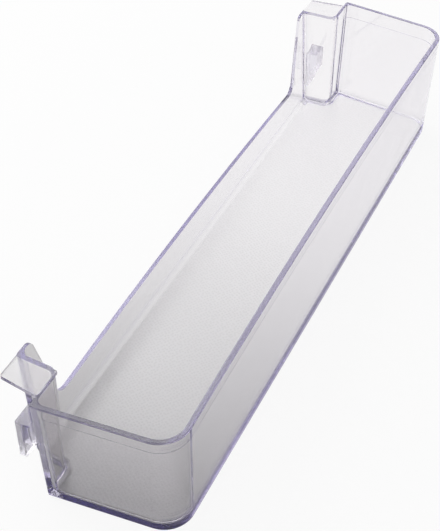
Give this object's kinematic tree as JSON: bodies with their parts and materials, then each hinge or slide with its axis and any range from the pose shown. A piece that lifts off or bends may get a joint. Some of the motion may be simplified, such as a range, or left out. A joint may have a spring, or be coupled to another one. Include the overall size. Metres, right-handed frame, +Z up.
{
  "type": "refrigerator door shelf",
  "caption": "Long clear moulded refrigerator door shelf with a tall front wall, a low back wall between raised tabs, and notched rear corners with cap plates and hooks for the door lugs.",
  "frame": {"origin": "centre of the bounding box at the underside", "axes": "+X along the shelf, -Y towards the tall front wall, +Y towards the refrigerator door, +Z up"},
  "size_m": [0.4506, 0.1063, 0.0815],
  "materials": {
    "clear_plastic": "clear moulded plastic with a faint violet tint in the edges and a fine dotted grain on the floor"
  },
  "bodies": {
    "root": {"door_shelf": "clear_plastic"}
  },
  "joints": []
}
